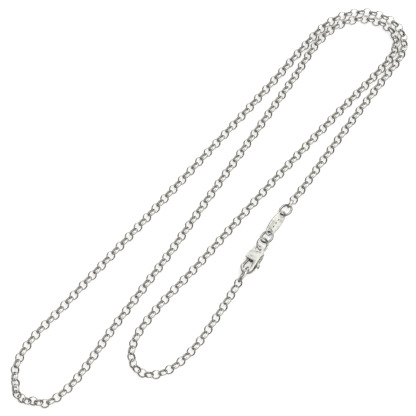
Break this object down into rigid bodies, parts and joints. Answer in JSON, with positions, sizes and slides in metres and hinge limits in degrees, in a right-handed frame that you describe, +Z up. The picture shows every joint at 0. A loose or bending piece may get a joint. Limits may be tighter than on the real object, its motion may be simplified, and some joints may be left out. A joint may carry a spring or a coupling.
{
  "type": "rolo chain necklace",
  "caption": "Fine round-link rolo chain necklace with a flat lobster clasp and a small oval tag, fastened and laid down folded into four strands.",
  "frame": {"origin": "middle of the footprint, on the surface it lies on", "axes": "+Z up from that surface, +Y along the strands towards the folds above the tag, +X towards the strand with the tag and clasp"},
  "size_m": [0.0375, 0.1524, 0.0047],
  "materials": {
    "chain_silver": "polished",
    "ring_silver": "polished",
    "plate_silver": "satin"
  },
  "bodies": {
    "necklace": {"chain_links": "chain_silver", "chain_run": "chain_silver", "tag": "plate_silver", "upper_tag_ring": "ring_silver", "lower_tag_ring": "ring_silver", "clasp_ring": "ring_silver", "catch_ring": "ring_silver", "clasp_body": "plate_silver", "clasp_pin": "ring_silver"},
    "trigger": {"clasp_trigger": "plate_silver"}
  },
  "joints": [
    {"name": "trigger_swing", "type": "hinge", "parent": "necklace", "child": "trigger", "pos_m": [0.01446, -0.00857, 0.00147], "axis": [-0.2307, 0.0475, 0.9719], "range_deg": [0, 30], "stiffness_Nm_per_rad": 0.002, "springref_deg": -17.19}
  ]
}
